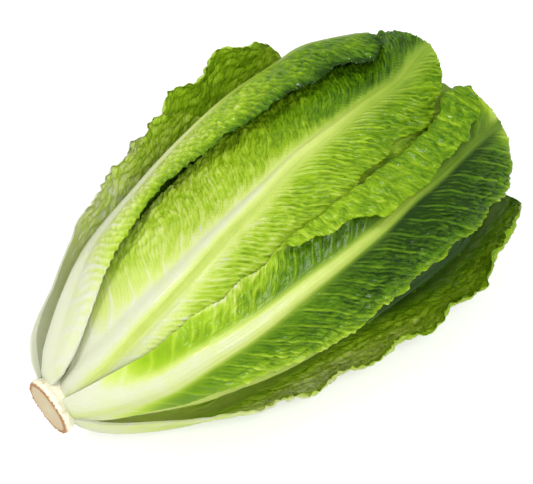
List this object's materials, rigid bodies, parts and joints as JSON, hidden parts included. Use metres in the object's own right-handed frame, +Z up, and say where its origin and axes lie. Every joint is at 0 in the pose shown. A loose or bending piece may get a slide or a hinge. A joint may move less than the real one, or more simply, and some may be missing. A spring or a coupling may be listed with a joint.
{
  "type": "romaine lettuce head",
  "caption": "Head of romaine lettuce lying on its side: long ribbed leaves with waved edges overlap round a pale heart on a short cut stem.",
  "frame": {"origin": "middle of the head's footprint, at the height of the surface it lies on", "axes": "+X from the cut stem towards the leaf tips, +Z up from the surface, +Y to the left of a viewer who looks along +X"},
  "size_m": [0.288, 0.2037, 0.1245],
  "materials": {
    "stem": "moist cream stem tissue with a tan cut face",
    "outer_leaf": "waxy dark green leaf, pale rib",
    "front_leaf": "waxy bright green leaf, white rib",
    "middle_leaf": "waxy light green leaf, white rib",
    "inner_leaf": "waxy pale green leaf, white rib",
    "heart": "waxy yellow-white young leaves"
  },
  "bodies": {
    "root": {"stem": "stem", "leaf_back_left": "outer_leaf", "leaf_outer_left": "outer_leaf", "leaf_outer_right": "outer_leaf", "leaf_underneath": "outer_leaf", "leaf_front_right": "front_leaf", "leaf_front_left": "front_leaf", "leaf_middle_right": "middle_leaf", "leaf_front_middle": "middle_leaf", "leaf_middle_back_right": "middle_leaf", "leaf_middle_back_left": "middle_leaf", "leaf_middle_left": "middle_leaf", "leaf_inner_front": "inner_leaf", "leaf_inner_left": "inner_leaf", "leaf_inner_right": "inner_leaf", "leaf_inner_back": "inner_leaf", "heart": "heart"}
  },
  "joints": []
}
